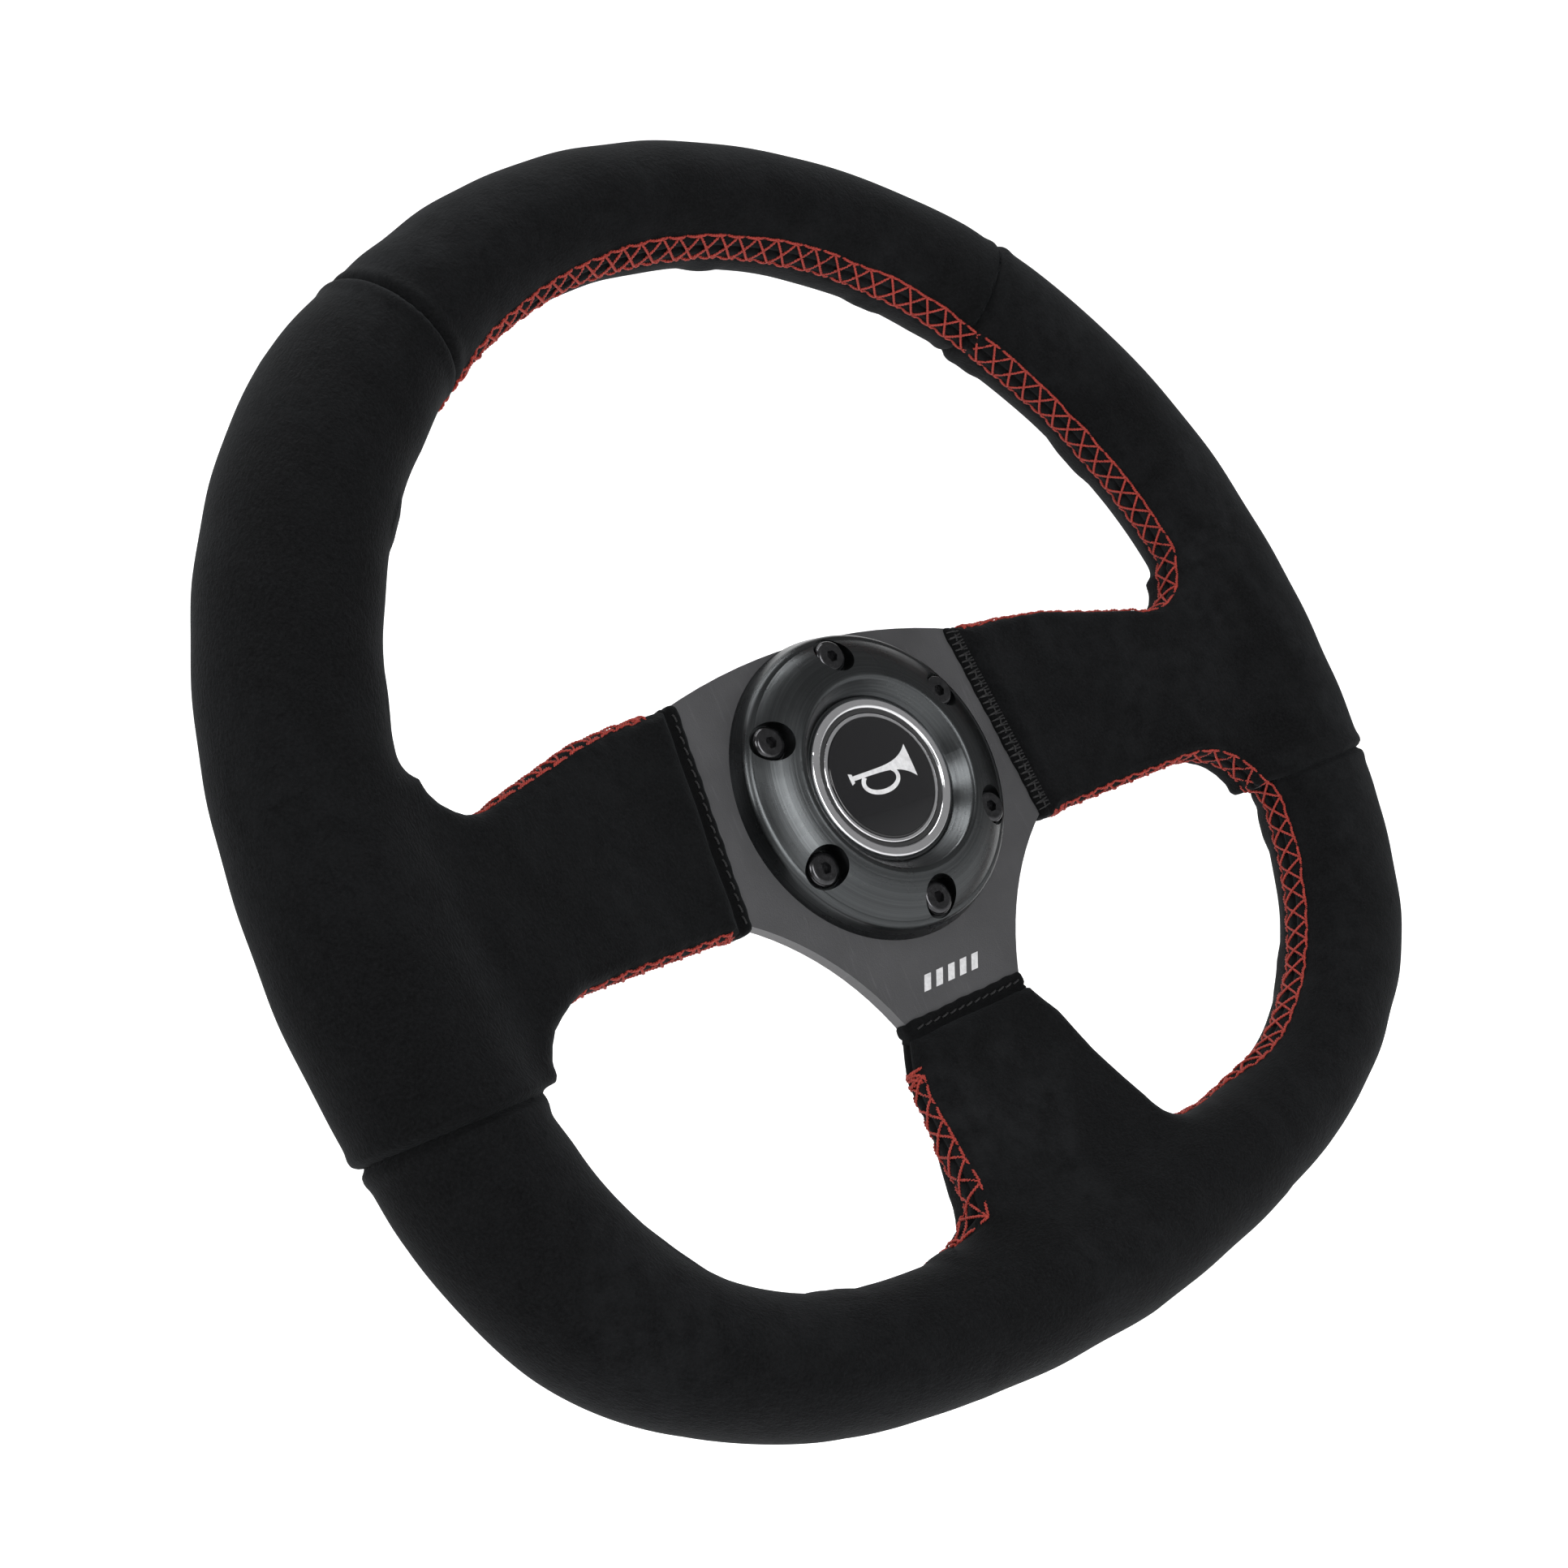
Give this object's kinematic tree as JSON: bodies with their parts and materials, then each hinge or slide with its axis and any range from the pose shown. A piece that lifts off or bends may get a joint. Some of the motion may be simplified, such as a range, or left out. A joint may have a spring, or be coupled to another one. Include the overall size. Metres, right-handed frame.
{
  "type": "quick release steering wheel",
  "caption": "Flat-bottomed three-spoke racing steering wheel with suede grip, horn button and a ball-lock quick release coupling behind the hub.",
  "frame": {"origin": "on the steering axis, in the middle of the coupling socket's pilot bore", "axes": "+X to the driver's right, +Z to the top of the wheel, +Y away from the driver along the steering column"},
  "size_m": [0.3528, 0.0615, 0.3373],
  "materials": {
    "plate_anodised": "satin",
    "hoop_aluminium": "satin",
    "foam": "matt",
    "suede_black": "napped suede",
    "ring_anodised": "satin",
    "black_oxide": "semi-gloss",
    "chrome": "polished",
    "black_plastic": "matt",
    "gloss_black": "gloss",
    "spring_steel": "satin",
    "brass": "polished",
    "hub_aluminium": "satin",
    "collar_aluminium": "satin",
    "ball_steel": "polished"
  },
  "bodies": {
    "frame": {"spoke_plate": "plate_anodised", "rim_hoop": "hoop_aluminium", "grip_foam": "foam", "suede_top": "suede_black", "suede_left": "suede_black", "suede_right": "suede_black", "suede_bottom": "suede_black", "trim_ring": "ring_anodised", "ring_screws": "black_oxide", "horn_bezel": "chrome", "horn_housing": "black_plastic", "horn_clip": "spring_steel", "horn_base": "black_plastic", "fixed_contacts": "brass", "horn_terminals": "brass", "coupling_hub": "hub_aluminium", "collar_spring": "spring_steel", "horn_spring": "spring_steel", "retaining_ring": "spring_steel", "contact_carrier": "black_plastic", "contact_rings": "brass"},
    "horn_button": {"horn_cap": "gloss_black", "cap_ring": "chrome", "moving_contact": "brass"},
    "collar": {"release_collar": "collar_aluminium"},
    "lock_ball_1": {"lock_ball_1": "ball_steel"},
    "lock_ball_2": {"lock_ball_2": "ball_steel"},
    "lock_ball_3": {"lock_ball_3": "ball_steel"},
    "lock_ball_4": {"lock_ball_4": "ball_steel"},
    "lock_ball_5": {"lock_ball_5": "ball_steel"},
    "lock_ball_6": {"lock_ball_6": "ball_steel"}
  },
  "joints": [
    {"name": "horn_press", "type": "slide", "parent": "frame", "child": "horn_button", "axis": [0, 1, 0], "range_m": [0, 0.0015], "stiffness_N_per_m": 2000, "springref_m": -0.002, "deforming": ["horn_spring"]},
    {"name": "collar_slide", "type": "slide", "parent": "frame", "child": "collar", "axis": [0, -1, 0], "range_m": [0, 0.005], "stiffness_N_per_m": 3000, "springref_m": -0.003, "deforming": ["collar_spring"]},
    {"name": "ball_1_out", "type": "slide", "parent": "frame", "child": "lock_ball_1", "axis": [1, 0, 0], "range_m": [0, 0.0019]},
    {"name": "ball_2_out", "type": "slide", "parent": "frame", "child": "lock_ball_2", "axis": [0.5, 0, 0.866], "range_m": [0, 0.0019]},
    {"name": "ball_3_out", "type": "slide", "parent": "frame", "child": "lock_ball_3", "axis": [-0.5, 0, 0.866], "range_m": [0, 0.0019]},
    {"name": "ball_4_out", "type": "slide", "parent": "frame", "child": "lock_ball_4", "axis": [-1, 0, 0], "range_m": [0, 0.0019]},
    {"name": "ball_5_out", "type": "slide", "parent": "frame", "child": "lock_ball_5", "axis": [-0.5, 0, -0.866], "range_m": [0, 0.0019]},
    {"name": "ball_6_out", "type": "slide", "parent": "frame", "child": "lock_ball_6", "axis": [0.5, 0, -0.866], "range_m": [0, 0.0019]}
  ],
  "couplings": [
    {"joint": "ball_1_out", "follows": "collar_slide", "ratio": 0.364},
    {"joint": "ball_2_out", "follows": "collar_slide", "ratio": 0.364},
    {"joint": "ball_3_out", "follows": "collar_slide", "ratio": 0.364},
    {"joint": "ball_4_out", "follows": "collar_slide", "ratio": 0.364},
    {"joint": "ball_5_out", "follows": "collar_slide", "ratio": 0.364},
    {"joint": "ball_6_out", "follows": "collar_slide", "ratio": 0.364}
  ]
}
